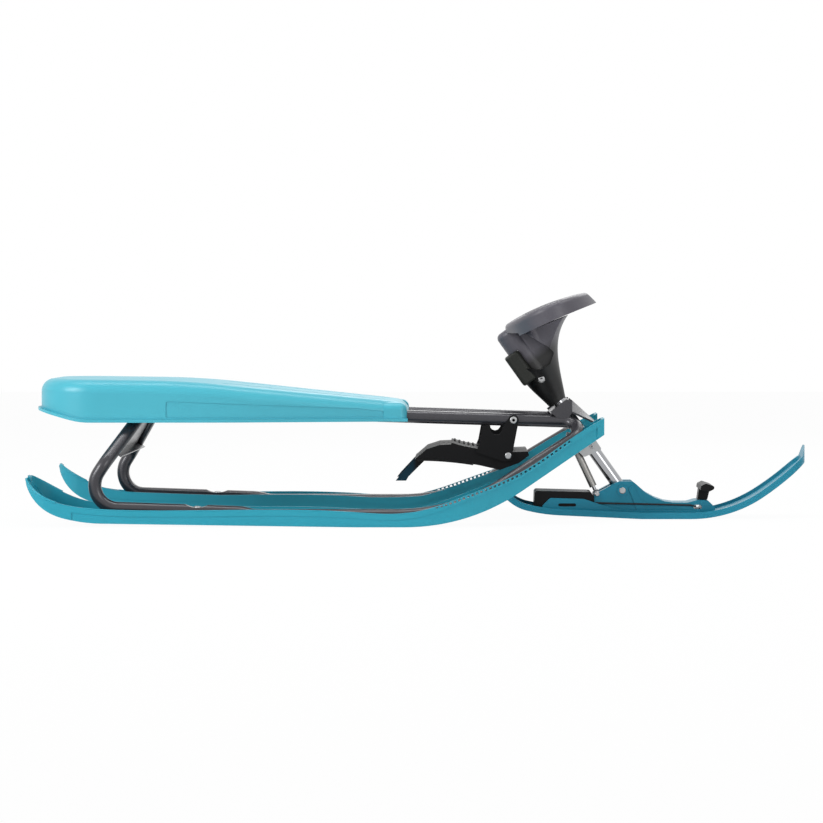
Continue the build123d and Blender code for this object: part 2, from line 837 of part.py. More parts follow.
save(ski.part.solids().sort_by(SortBy.VOLUME)[-1], "front_ski")

with BuildPart() as above_ski:
    with BuildSketch(side_plane(200)):
        add(ski_side(ski_t + fit_gap))
    extrude(amount=400)

mount_rear_x = 301

# the cord leaves the reel, lies along the mount and turns in through the nose
cord_y = -(mount_half + fit_gap + cord_d / 2)
cord_hole = (481, 19.3)
cord_hole_l, cord_hole_h = 15, 7
cord_end = (477.5, 20.5)
wall_slot = (253.5, 23.5)
wall_slot_l, wall_slot_h = 31, 5.5


def cord_form(diameter):
    """The cord's visible run, as thick as given."""
    with BuildPart() as form:
        with BuildLine() as cord_line:
            FilletPolyline(
                (mount_rear_x, cord_y, 26.3),
                (468, cord_y, 22.5),
                (cord_end[0], cord_y, cord_end[1]),
                (cord_end[0], cord_y + 10, cord_end[1]),
                radius=4,
            )
        with BuildSketch(Plane(origin=cord_line.line @ 0, z_dir=cord_line.line % 0)):
            Circle(diameter / 2)
        sweep(path=cord_line.line)
    return form.part


save(cord_form(cord_d), "pull_cord")
cord_room = cord_form(cord_d + 2 * fit_gap)

# mount moulded in the ski's own plastic: a slotted tower, a base flange and low side walls
slot_half = column_d / 2 + 1
wall_t = 3
cheek_in = reel_half + fit_gap
tower_points = [
    (mount_rear_x, 2), (mount_rear_x, 41), (340, 62), (349, 64), (367, 64), (377, 56), (390, 44.5),
    (407, 35), (424, 29), (440, 26.8), (464, 26.8), (479, 31), (499, 30.5), (511, 19), (513, 2),
]
slot_points = [(290, 28), (290, 90), (400, 90), (380, 28)]
flange_points = [(mount_rear_x, 2), (mount_rear_x, 14), (484, 14), (490, 2)]
wall_points = [(207, 2), (211, 23), (224, 35.5), (282, 34), (312, 24), (334, 17.5), (366, 13), (384, 2)]
web_points = [(360, 52), (369, 57), (393, 10), (377, 10)]
boss_r, boss_proud = 9.5, 2
with BuildPart() as mount:
    add(side_prism(tower_points, -mount_half, mount_half, radius=3))
    add(side_prism(flange_points, -cheek_in - wall_t, cheek_in + wall_t))
    for side in (1, -1):
        add(side_prism(wall_points, side * cheek_in, side * (cheek_in + wall_t), radius=4))
        add(side_prism(web_points, side * mount_half, side * (mount_half + boss_proud)))
    add(cross_pin(pivot_x, pivot_z, 2 * boss_r, mount_half + boss_proud))
    add(side_prism(slot_points, -slot_half, slot_half), mode=Mode.SUBTRACT)
    add(above_ski.part, mode=Mode.INTERSECT)
    add(cross_pin(pivot_x, pivot_z, pin_d + 2 * fit_gap, 100), mode=Mode.SUBTRACT)
    add(foot_eye_hole, mode=Mode.SUBTRACT)
    with BuildSketch(side_plane(100)):
        with Locations(cord_hole):
            SlotOverall(cord_hole_l, cord_hole_h)
        with Locations(wall_slot):
            SlotOverall(wall_slot_l, wall_slot_h)
    extrude(amount=200, mode=Mode.SUBTRACT)
    add(cord_room, mode=Mode.SUBTRACT)

save(mount.part.solids().sort_by(SortBy.VOLUME)[-1], "ski_mount")

save(cross_pin(pivot_x, pivot_z, pin_d, mount_half + boss_proud + pin_proud), "ski_pivot_bolt")

# closed housing of the cord reel, notched round the damper's foot
reel_points = [(196, 2), (197, 48), (295, 45.5), (300, 38), (300, 2)]
notch_points = [(290, 28), (290, 90), (320, 90), (320, 28)]
with BuildPart() as reel:
    add(side_prism(reel_points, -reel_half, reel_half, radius=5))
    add(side_prism(notch_points, -slot_half, slot_half), mode=Mode.SUBTRACT)
    add(above_ski.part, mode=Mode.INTERSECT)

save(reel.part, "cord_reel_housing")

grip_half, stem_half = 45, 14
grip_points = [(484, 49), (486, 57), (494, 61), (509, 56), (508, 51), (500, 47)]
stem_points = [(482, 31.4), (485, 52), (504, 52), (499, 31.2)]
with BuildPart() as handle:
    add(side_prism(grip_points, -grip_half, grip_half, radius=3))
    add(side_prism(stem_points, -stem_half, stem_half))

save(handle.part, "pull_handle")
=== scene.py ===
import bpy
import bmesh
import math
from mathutils import Matrix, Vector


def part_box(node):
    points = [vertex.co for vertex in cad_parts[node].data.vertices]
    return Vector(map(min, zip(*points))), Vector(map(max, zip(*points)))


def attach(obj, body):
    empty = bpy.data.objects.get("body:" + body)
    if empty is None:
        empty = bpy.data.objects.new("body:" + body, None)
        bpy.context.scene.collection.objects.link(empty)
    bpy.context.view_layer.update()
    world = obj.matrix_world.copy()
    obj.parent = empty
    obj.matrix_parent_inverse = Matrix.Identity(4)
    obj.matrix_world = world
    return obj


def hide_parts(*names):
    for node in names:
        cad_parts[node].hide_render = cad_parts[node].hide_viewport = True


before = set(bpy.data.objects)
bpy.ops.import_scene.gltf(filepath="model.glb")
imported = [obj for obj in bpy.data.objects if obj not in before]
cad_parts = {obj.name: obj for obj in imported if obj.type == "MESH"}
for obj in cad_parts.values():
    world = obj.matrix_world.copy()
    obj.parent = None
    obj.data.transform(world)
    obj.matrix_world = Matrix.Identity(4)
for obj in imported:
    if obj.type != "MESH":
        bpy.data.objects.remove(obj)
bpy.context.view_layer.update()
bpy.ops.object.select_all(action="DESELECT")
print("frame loaded")

# the camera stands level beside the sled's right side, a long way off with a long lens
camera = {
    "place": (0.062, -4.904, 0.3535), "turn": (math.radians(90), 0, 0),
    "lens": 122.5, "sensor": 36, "shift": (-0.0553, -0.1173), "reach": 60,
}
bpy.ops.object.camera_add(location=camera["place"], rotation=camera["turn"])
cameraObject = bpy.context.object
cameraObject.data.lens = camera["lens"]
cameraObject.data.sensor_width = camera["sensor"]
cameraObject.data.shift_x, cameraObject.data.shift_y = camera["shift"]
cameraObject.data.clip_end = camera["reach"]
bpy.context.scene.camera = cameraObject
bpy.context.scene.view_settings.view_transform = "Standard"
print("camera set")


def toLinear(hexColour):
    channels = [int(hexColour[i:i + 2], 16) / 255 for i in (1, 3, 5)]
    return [c / 12.92 if c <= 0.04045 else ((c + 0.055) / 1.055) ** 2.4 for c in channels] + [1.0]


# owner is a material or the world
def addNode(owner, kind, settings=None, inputs=None, links=None):
    tree = owner.node_tree
    node = tree.nodes.new(kind)
    for key, value in (settings or {}).items():
        setattr(node, key, value)
    for key, value in (inputs or {}).items():
        node.inputs[key].default_value = value
    for key, source in (links or {}).items():
        tree.links.new(source, node.inputs[key])
    return node


def link(owner, source, node, socket):
    owner.node_tree.links.new(source, node.inputs[socket])


def newMaterial(name):
    material = bpy.data.materials.new(name)
    material.use_nodes = True
    shader = material.node_tree.nodes["Principled BSDF"]
    place = addNode(material, "ShaderNodeTexCoord").outputs["Object"]
    return material, shader, place


# injection moulded polypropylene: soft satin gloss, a fine eroded-mould grain and slight colour drift
def makePolypropylene(name, colour, drift, roughness, shine):
    material, shader, place = newMaterial(name)
    grainSize, driftSize = 0.0011, 0.12  # 0.25 mm grain drawn at 1.1 mm so that it shows
    grain = addNode(
        material, "ShaderNodeTexNoise",
        inputs={"Scale": 1 / grainSize, "Detail": 2.0}, links={"Vector": place})
    cloud = addNode(
        material, "ShaderNodeTexNoise",
        inputs={"Scale": 1 / driftSize, "Detail": 1.0}, links={"Vector": place})
    mix = addNode(
        material, "ShaderNodeMix", {"data_type": "RGBA"},
        {"A": toLinear(colour), "B": toLinear(drift)}, {"Factor": cloud.outputs["Fac"]})
    link(material, mix.outputs["Result"], shader, "Base Color")
    bump = addNode(
        material, "ShaderNodeBump",
        inputs={"Strength": 0.05, "Distance": 0.0003}, links={"Height": grain.outputs["Fac"]})
    link(material, bump.outputs["Normal"], shader, "Normal")
    gloss = addNode(
        material, "ShaderNodeMapRange",
        inputs={"To Min": roughness - 0.05, "To Max": roughness + 0.07}, links={"Value": cloud.outputs["Fac"]})
    link(material, gloss.outputs["Result"], shader, "Roughness")
    shader.inputs["IOR"].default_value = 1.49
    shader.inputs["Specular IOR Level"].default_value = shine
    return material


# powder-coated steel: metallic flake under a satin clear, with faint orange peel
def makePowderCoat(name, colour, flakeColour, roughness, metallic, coat, shine):
    material, shader, place = newMaterial(name)
    peelSize, flakeSize = 0.0022, 0.0009
    peel = addNode(
        material, "ShaderNodeTexNoise",
        inputs={"Scale": 1 / peelSize, "Detail": 1.0}, links={"Vector": place})
    flake = addNode(
        material, "ShaderNodeTexVoronoi", inputs={"Scale": 1 / flakeSize}, links={"Vector": place})
    spread = addNode(
        material, "ShaderNodeMapRange",
        inputs={"From Min": 0.0, "From Max": 1.0, "To Min": 0.0, "To Max": 0.5},
        links={"Value": flake.outputs["Distance"]})
    mix = addNode(
        material, "ShaderNodeMix", {"data_type": "RGBA"},
        {"A": toLinear(colour), "B": toLinear(flakeColour)}, {"Factor": spread.outputs["Result"]})
    link(material, mix.outputs["Result"], shader, "Base Color")
    bump = addNode(
        material, "ShaderNodeBump",
        inputs={"Strength": 0.06, "Distance": 0.0003}, links={"Height": peel.outputs["Fac"]})
    link(material, bump.outputs["Normal"], shader, "Normal")
    shader.inputs["Metallic"].default_value = metallic
    shader.inputs["Roughness"].default_value = roughness
    shader.inputs["Coat Weight"].default_value = coat
    shader.inputs["Coat Roughness"].default_value = 0.2
    shader.inputs["Specular IOR Level"].default_value = shine
    return material


# moulded ABS: fine leather-like mould grain, low sheen
def makeAbs(name, colour, edge, roughness, grainSize, shine):
    material, shader, place = newMaterial(name)
    grain = addNode(
        material, "ShaderNodeTexNoise",
        inputs={"Scale": 1 / grainSize, "Detail": 3.0}, links={"Vector": place})
    mix = addNode(
        material, "ShaderNodeMix", {"data_type": "RGBA"},
        {"A": toLinear(colour), "B": toLinear(edge)}, {"Factor": grain.outputs["Fac"]})
    link(material, mix.outputs["Result"], shader, "Base Color")
    bump = addNode(
        material, "ShaderNodeBump",
        inputs={"Strength": 0.12, "Distance": 0.0003}, links={"Height": grain.outputs["Fac"]})
    link(material, bump.outputs["Normal"], shader, "Normal")
    shader.inputs["Roughness"].default_value = roughness
    shader.inputs["IOR"].default_value = 1.52
    shader.inputs["Specular IOR Level"].default_value = shine
    return material


# plated steel: drawn along its length, so the 0.4 mm scratches run one way for 30 mm
def makePlatedSteel(name, colour, roughness):
    material, shader, place = newMaterial(name)
    scratchWidth, scratchLength = 0.0004, 0.03
    mapping = addNode(
        material, "ShaderNodeMapping",
        inputs={"Scale": (1 / scratchWidth, 1 / scratchWidth, 1 / scratchLength)}, links={"Vector": place})
    streak = addNode(
        material, "ShaderNodeTexNoise",
        inputs={"Scale": 1.0, "Detail": 2.0}, links={"Vector": mapping.outputs["Vector"]})
    gloss = addNode(
        material, "ShaderNodeMapRange",
        inputs={"To Min": roughness * 0.7, "To Max": roughness * 1.4}, links={"Value": streak.outputs["Fac"]})
    link(material, gloss.outputs["Result"], shader, "Roughness")
    shader.inputs["Base Color"].default_value = toLinear(colour)
    shader.inputs["Metallic"].default_value = 1.0
    return material


# lays a second colour over a finish on the low side of a plane across the given direction
def fadeColour(material, direction, span, colour):
    shader = material.node_tree.nodes["Principled BSDF"]
    before = shader.inputs["Base Color"].links[0].from_socket
    place = addNode(material, "ShaderNodeTexCoord").outputs["Object"]
    height = addNode(
        material, "ShaderNodeVectorMath", {"operation": "DOT_PRODUCT"}, {1: direction}, {0: place})
    share = addNode(
        material, "ShaderNodeMapRange",
        inputs={"From Min": span[0], "From Max": span[1]}, links={"Value": height.outputs["Value"]})
    over = addNode(
        material, "ShaderNodeMix", {"data_type": "RGBA"},
        {"A": toLinear(colour)}, {"Factor": share.outputs["Result"], "B": before})
    link(material, over.outputs["Result"], shader, "Base Color")


# braided nylon cord: crossing strands about 1 mm wide
def makeBraid(name, colour, edge):
    material, shader, place = newMaterial(name)
    strandRun = 0.004
    wave = addNode(
        material, "ShaderNodeTexWave", {"bands_direction": "DIAGONAL"},
        {"Scale": 1 / strandRun}, {"Vector": place})
    mix = addNode(
        material, "ShaderNodeMix", {"data_type": "RGBA"},
        {"A": toLinear(colour), "B": toLinear(edge)}, {"Factor": wave.outputs["Fac"]})
    link(material, mix.outputs["Result"], shader, "Base Color")
    bump = addNode(
        material, "ShaderNodeBump",
        inputs={"Strength": 0.5, "Distance": 0.0005}, links={"Height": wave.outputs["Fac"]})
    link(material, bump.outputs["Normal"], shader, "Normal")
    shader.inputs["Roughness"].default_value = 0.8
    return material


# one turquoise plastic in three copies: painted light on the seat's lightest copy, painted shade on the
# runners' darker copy and, darkest, on the ski's and mount's copy
litSeatPlastic = makePolypropylene("litTurquoisePolypropylene", "#46afc1", "#41a8bb", 0.34, 0.5)
halfShadedRunnerPlastic = makePolypropylene("halfShadedTurquoisePolypropylene", "#2c9cb1", "#2895aa", 0.32, 0.3)
shadedSkiPlastic = makePolypropylene("shadedTurquoisePolypropylene", "#2288a2", "#1d8099", 0.32, 0.25)
frameCoat = makePowderCoat("greyPowderCoatedSteel", "#26252a", "#434249", 0.36, 0.4, 0.5, 0.5)
brakeCoat = makePowderCoat("blackPowderCoatedSteel", "#0a0a0b", "#131316", 0.5, 0.0, 0.04, 0.12)
blackAbs = makeAbs("blackMouldedAbs", "#0b0b0c", "#131314", 0.4, 0.0014, 0.12)
padAbs = makeAbs("padAbs", "#1d1f1c", "#242622", 0.5, 0.0012, 0.25)
gripAbs = makeAbs("softTouchAbs", "#4c4a52", "#55535b", 0.42, 0.0012, 0.45)
# the wheel's hub is the harder, blacker plastic; the soft-touch grey begins where the bowl swells
fadeColour(gripAbs, (-0.5807, 0, 0.8141), (0.108, 0.124), "#0c0c0d")
# the claws are dipped in a dark petrol coat
clawedCoat = makePowderCoat("dippedPowderCoatedSteel", "#0a0a0b", "#131316", 0.5, 0.0, 0.04, 0.12)
fadeColour(clawedCoat, (1, 0, 0), (-0.016, -0.008), "#0b2f3e")
chromeSteel = makePlatedSteel("chromePlatedSteel", "#a4a5a8", 0.12)
zincSteel = makePlatedSteel("zincPlatedSteel", "#a9aaab", 0.3)
damperSteel = makePlatedSteel("satinDamperSteel", "#979592", 0.4)
blackBraid = makeBraid("blackBraidedNylon", "#0e0e10", "#2a2a2e")

# pins and bolts are zinc plated, and what is not listed is black ABS
finishes = {
    "seat": litSeatPlastic, "runner_left": halfShadedRunnerPlastic, "runner_right": halfShadedRunnerPlastic,
    "front_ski": shadedSkiPlastic, "ski_mount": shadedSkiPlastic,
    "frame_loop_left": frameCoat, "frame_loop_right": frameCoat, "rear_brace": frameCoat,
    "head_bracket": frameCoat, "column_bracket": zincSteel,
    "brake_hanger_left": brakeCoat, "brake_hanger_right": brakeCoat, "brake_pedal": clawedCoat,
    "steering_column": chromeSteel, "damper_rod": chromeSteel, "damper_body": damperSteel,
    "steering_wheel": gripAbs, "wheel_pad": padAbs, "pull_cord": blackBraid,
}
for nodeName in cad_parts:
    node = bpy.data.objects[nodeName]
    finish = finishes.get(nodeName, zincSteel if nodeName.endswith(("pin", "bolt")) else blackAbs)
    for materialSlot in node.material_slots:
        materialSlot.material = finish
print("finishes given to the CAD nodes")

straightDown = (0, 0, -1)


def selectOnly(piece):
    bpy.ops.object.select_all(action="DESELECT")
    piece.select_set(True)
    bpy.context.view_layer.objects.active = piece


def applyModifier(piece, kind, name, **settings):
    modifier = piece.modifiers.new(name, kind)
    for key, value in settings.items():
        setattr(modifier, key, value)
    bpy.context.view_layer.objects.active = piece
    bpy.ops.object.modifier_apply(modifier=modifier.name)


def cutAway(piece, cutter, name):
    applyModifier(piece, "BOOLEAN", name, operation="DIFFERENCE", object=cutter, solver="EXACT")


def finishPiece(piece, name, material, body):
    piece.name = name
    piece.data.name = name
    piece.data.materials.clear()
    piece.data.materials.append(material)
    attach(piece, body)
    return piece


# where a straight line in from outside first meets a CAD node
def landOn(nodeName, start, direction):
    found, place, _, _ = bpy.data.objects[nodeName].ray_cast(Vector(start), Vector(direction))
    assert found, nodeName
    return place


# a disc standing on the floor at the given height, with its top and bottom edges rounded
def roundedDisc(radius, depth, foot, rounding, segments):
    bpy.ops.mesh.primitive_cylinder_add(
        vertices=boltForm["sides"], radius=radius, depth=depth, location=(0, 0, foot + depth / 2))
    disc = bpy.context.object
    applyModifier(
        disc, "BEVEL", "softEdge",
        width=depth * rounding, segments=segments, limit_method="ANGLE", angle_limit=boltForm["sharp"])
    return disc


# pan-head bolt on a washer, with a hexagon socket: the middle of its head stands at place, facing axis
boltForm = {"sides": 40, "sharp": math.radians(50), "dome": (0.45, 4), "rimEdge": (0.3, 2)}


def makeBolt(name, place, axis, body, bolt):
    bpy.ops.object.select_all(action="DESELECT")
    top = bolt["washer"] + bolt["height"]
    bpy.ops.mesh.primitive_cylinder_add(
        vertices=6, radius=bolt["socket"], depth=bolt["height"], location=(0, 0, top))
    cutter = bpy.context.object
    head = roundedDisc(bolt["head"], bolt["height"], bolt["washer"], *boltForm["dome"])
    cutAway(head, cutter, "socket")
    bpy.data.objects.remove(cutter)
    washer = roundedDisc(bolt["rim"], bolt["washer"], 0, *boltForm["rimEdge"])
    head.select_set(True)
    washer.select_set(True)
    bpy.context.view_layer.objects.active = head
    bpy.ops.object.join()
    head.rotation_euler = Vector(axis).to_track_quat("Z", "Y").to_euler()
    head.location = place
    bpy.ops.object.transform_apply(location=True, rotation=True, scale=True)
    return finishPiece(head, name, zincSteel, body)


smallBolt = {"head": 0.0042, "height": 0.003, "socket": 0.0018, "rim": 0.0052, "washer": 0.0009}
mediumBolt = {"head": 0.0058, "height": 0.0036, "socket": 0.0025, "rim": 0.0066, "washer": 0.0012}
largeBolt = {"head": 0.0064, "height": 0.004, "socket": 0.0028, "rim": 0.0082, "washer": 0.0014}
# each is found by a line in from beside the sled; the clamp's by a line down beside its bolt hole
wheelBolt = {"x": 0.209, "z": 0.242}
bracketBolt = {"x": 0.2974, "z": 0.1237}
hangerBolt = {"x": 0.159, "z": 0.173}
clampBolt = {"x": -0.374, "y": 0.2, "beside": 0.005}
beside, above = 0.3, 0.08
for side, sideName in ((1, "left"), (-1, "right")):
    clampY = side * clampBolt["y"]
    start = (clampBolt["x"] + clampBolt["beside"], clampY, above)
    place = landOn("frame_loop_" + sideName, start, straightDown)
    makeBolt("clampBolt_" + sideName, (clampBolt["x"], clampY, place.z), (0, 0, 1), "frame", largeBolt)
    for name, spot, node, body, bolt in (
        ("hangerBolt_", hangerBolt, "brake_hanger_" + sideName, "frame", largeBolt),
        ("wheelBolt_", wheelBolt, "steering_wheel", "steering", mediumBolt),
        ("bracketBolt_", bracketBolt, "column_bracket", "steering", smallBolt),
    ):
        place = landOn(node, (spot["x"], side * beside, spot["z"]), (0, -side, 0))
        makeBolt(name + sideName, place, (0, side, 0), body, bolt)
    for name, pinName, body, bolt in (
        ("pivotBolt_", "ski_pivot_bolt", "steering", mediumBolt),
        ("damperTopCap_", "damper_top_pin", "steering", smallBolt),
        ("damperFootCap_", "damper_foot_pin", "steering", smallBolt),
        ("brakePinCap_", "brake_pin", "frame", mediumBolt),
    ):
        low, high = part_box(pinName)
        inward = bolt["washer"] * 2.5
        place = ((low[0] + high[0]) / 2, side * (high[1] - inward), (low[2] + high[2]) / 2)
        makeBolt(name + sideName, place, (0, side, 0), body, bolt)
print("bolts placed")

scan = {"height": 0.4, "outside": 0.252, "step": 0.0005, "tries": 400, "facingUp": 0.3}


# walks across a runner from outside until a line straight down meets the top of the wall
def wallTop(nodeName, x, side):
    y = side * scan["outside"]
    for _ in range(scan["tries"]):
        start = Vector((x, y, scan["height"]))
        found, place, normal, _ = bpy.data.objects[nodeName].ray_cast(start, Vector(straightDown))
        if found and normal.z > scan["facingUp"]:
            return place
        y += -side * scan["step"]
    raise RuntimeError("no wall at " + str(x))


# a row of small windows under the top edge of the outer wall, where the rider's boots push
windows = {
    "from": 0.028, "to": 0.25, "pitch": 0.0074, "size": (0.0046, 0.014, 0.0036), "round": 0.0006,
    "rail": 0.0013, "wall": 0.004, "merge": 0.00002, "flat": 0.02, "square": 3.0, "smooth": 14,
}
# bead moulded along the outer wall: at its top on the flat, under the windows up the front
bead = {
    "from": -0.56, "to": 0.262, "step": 0.012, "thick": 0.0011, "sink": 0.0005, "inset": 0.0004,
    "dropFrom": -0.015, "dropTo": 0.06, "drop": 0.0062,
}


def addBlock(size, place, rounding):
    bpy.ops.mesh.primitive_cube_add(size=1, location=place)
    block = bpy.context.object
    block.scale = size
    bpy.ops.object.transform_apply(location=False, rotation=False, scale=True)
    applyModifier(block, "BEVEL", "softEdge", width=rounding, segments=2)
    return block


def joinAll(pieces):
    bpy.ops.object.select_all(action="DESELECT")
    for piece in pieces:
        piece.select_set(True)
    bpy.context.view_layer.objects.active = pieces[0]
    bpy.ops.object.join()
    bpy.ops.object.transform_apply(location=True, rotation=True, scale=True)
    return bpy.context.object


# puts a copy of a block at each place and joins them; the block itself goes
def joinCopies(block, places):
    copies = []
    for place in places:
        copy = block.copy()
        copy.data = block.data.copy()
        bpy.context.collection.objects.link(copy)
        copy.matrix_world = place
        copies.append(copy)
    bpy.data.objects.remove(block)
    return joinAll(copies)


# the outer edge of the wall top at x, with the run of the wall and the way in towards the channel
def outerEdge(sideName, side, x):
    node = "runner_" + sideName
    here, ahead = (wallTop(node, at, side) for at in (x, x + 0.006))
    run = (ahead - here).normalized()
    inward = Vector((-run.y, run.x, 0)).normalized()
    inward = inward if inward.y * side < 0 else -inward
    return here, run, inward


def cutWindows(sideName, side):
    bpy.ops.object.select_all(action="DESELECT")
    cutter = addBlock(windows["size"], (0, 0, 0), windows["round"])
    places = []
    x = windows["from"]
    while x < windows["to"]:
        here, run, inward = outerEdge(sideName, side, x)
        over = run.cross(inward)
        if over.z < 0:
            run, over = -run, -over
        below = windows["rail"] + windows["size"][2] / 2
        spot = here + inward * windows["wall"] / 2 - over * below
        places.append(Matrix.Translation(spot) @ Matrix((run, inward, over)).transposed().to_4x4())
        x += windows["pitch"]
    cutter = joinCopies(cutter, places)
    shell = bpy.data.objects["runner_" + sideName].copy()
    shell.data = shell.data.copy()
    bpy.context.collection.objects.link(shell)
    selectOnly(shell)
    bpy.ops.object.mode_set(mode="EDIT")
    bpy.ops.mesh.select_all(action="SELECT")
    bpy.ops.mesh.remove_doubles(threshold=windows["merge"])
    bpy.ops.mesh.tris_convert_to_quads(face_threshold=windows["flat"], shape_threshold=windows["square"])
    bpy.ops.object.mode_set(mode="OBJECT")
    cutAway(shell, cutter, "windows")
    bpy.data.objects.remove(cutter)
    selectOnly(shell)
    bpy.ops.mesh.customdata_custom_splitnormals_clear()
    bpy.ops.object.shade_smooth_by_angle(angle=math.radians(windows["smooth"]))
    # the large faces lead, so the wall stays evenly lit round the small windows
    applyModifier(shell, "WEIGHTED_NORMAL", "evenWall", keep_sharp=True, weight=100)
    finishPiece(shell, "runnerShell_" + sideName, halfShadedRunnerPlastic, "frame")
    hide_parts("runner_" + sideName)
    return shell


# round bar along a smooth line near the places: resolution is steps a span, rings the steps round it
def sweepRound(places, thick, resolution, rings):
    bpy.ops.object.select_all(action="DESELECT")
    bpy.ops.curve.primitive_nurbs_path_add(location=(0, 0, 0))
    line = bpy.context.object
    spline = line.data.splines[0]
    spline.points.add(len(places) - len(spline.points))
    for point, place in zip(spline.points, places):
        point.co = (*place, 1)
    spline.use_endpoint_u = True
    line.data.resolution_u = resolution
    line.data.bevel_depth = thick
    line.data.bevel_resolution = rings
    line.data.use_fill_caps = True
    bpy.ops.object.convert(target="MESH")
    return bpy.context.object


def layBead(sideName, side):
    places = []
    x = bead["from"]
    while x < bead["to"]:
        here, _, inward = outerEdge(sideName, side, x)
        share = min(max((x - bead["dropFrom"]) / (bead["dropTo"] - bead["dropFrom"]), 0), 1)
        down = Vector((0, 0, -bead["sink"] - bead["drop"] * share))
        places.append(here + down + inward * bead["inset"])
        x += bead["step"]
    piece = sweepRound(places, bead["thick"], 2, 3)
    return finishPiece(piece, "runnerBead_" + sideName, halfShadedRunnerPlastic, "frame")


# rolled lip round the upturned tail, from the outer wall over the tip to the inner wall
tailLip = {
    "centre": (-0.6, 0.2), "reach": 0.075, "least": 0.02, "step": 0.0005,
    "turn": 80, "count": 25, "thick": 0.0021, "sink": 0.0012, "forward": 0.001,
}


def layTailLip(sideName, side):
    runner = bpy.data.objects["runner_" + sideName]
    places = []
    for index in range(tailLip["count"]):
        angle = math.radians(tailLip["turn"] * (2 * index / (tailLip["count"] - 1) - 1))
        reach = tailLip["reach"]
        found = False
        while not found and reach > tailLip["least"]:
            x = tailLip["centre"][0] - reach * math.cos(angle)
            y = side * tailLip["centre"][1] + reach * math.sin(angle)
            found, place, _, _ = runner.ray_cast(Vector((x, y, scan["height"])), Vector(straightDown))
            reach -= tailLip["step"]
        places.append(place + Vector((tailLip["forward"], 0, -tailLip["sink"])))
    piece = sweepRound(places, tailLip["thick"], 2, 3)
    return finishPiece(piece, "tailLip_" + sideName, halfShadedRunnerPlastic, "frame")


for side, sideName in ((1, "left"), (-1, "right")):
    layBead(sideName, side)
    layTailLip(sideName, side)
    cutWindows(sideName, side)
print("windows, beads and tail lips moulded on the runners")

# the seat shell runs out over the frame tubes at its front corners
corner = {
    "x": (-0.064, -0.0236), "y": (0.06, 0.1095), "z": (0.171, 0.2035), "round": 0.013,
    "lip": 0.0035, "lipAhead": 0.0012, "lipUp": 0.005, "lipRound": 0.012, "near": 0.001,
    "tubeStart": (-0.1, 0.08996, 0.18144), "tubeEnd": (0.02, 0.08737, 0.17771), "room": 0.0113,
}


def pickEdges(mesh, wanted):
    editMesh = bmesh.from_edit_mesh(mesh)
    for edge in editMesh.edges:
        middle = (edge.verts[0].co + edge.verts[1].co) / 2
        edge.select_set(wanted(middle))
    bmesh.update_edit_mesh(mesh)


def cornerBlock(side, x, y, z, rounding, wanted):
    middle = [(low + high) / 2 for low, high in (x, y, z)]
    bpy.ops.mesh.primitive_cube_add(size=1, location=(middle[0], side * middle[1], middle[2]))
    block = bpy.context.object
    block.scale = (x[1] - x[0], y[1] - y[0], z[1] - z[0])
    bpy.ops.object.transform_apply(location=True, rotation=False, scale=True)
    bpy.ops.object.mode_set(mode="EDIT")
    bpy.ops.mesh.select_all(action="DESELECT")
    pickEdges(block.data, wanted)
    bpy.ops.mesh.bevel(offset=rounding, segments=6)
    bpy.ops.object.mode_set(mode="OBJECT")
    return block


for side, sideName in ((1, "left"), (-1, "right")):
    bpy.ops.object.select_all(action="DESELECT")
    front, outer, top = (corner[axis][1] - corner["near"] for axis in "xyz")

    def shows(middle):
        return sum((middle.x > front, side * middle.y > outer, middle.z > top)) > 1

    def cornerOnly(middle):
        return middle.x > front and side * middle.y > outer

    wall = cornerBlock(side, corner["x"], corner["y"], corner["z"], corner["round"], shows)
    lipX = (corner["x"][0], corner["x"][1] + corner["lipAhead"])
    lipY = (corner["y"][0], corner["y"][1] + corner["lip"])
    lipZ = (corner["z"][0], corner["z"][0] + corner["lipUp"])
    lip = cornerBlock(side, lipX, lipY, lipZ, corner["lipRound"], cornerOnly)
    start, end = Vector(corner["tubeStart"]), Vector(corner["tubeEnd"])
    start.y, end.y = side * start.y, side * end.y
    lean = (end - start).to_track_quat("Z", "Y").to_euler()
    for piece in (wall, lip):
        bpy.ops.mesh.primitive_cylinder_add(
            vertices=48, radius=corner["room"], depth=(end - start).length,
            location=(start + end) / 2, rotation=lean)
        tubeRoom = bpy.context.object
        cutAway(piece, tubeRoom, "tubeRoom")
        bpy.data.objects.remove(tubeRoom)
    piece = joinAll([wall, lip])
    bpy.ops.object.shade_smooth_by_angle(angle=math.radians(40))
    finishPiece(piece, "seatCorner_" + sideName, litSeatPlastic, "frame")
print("seat corners closed over the tubes")

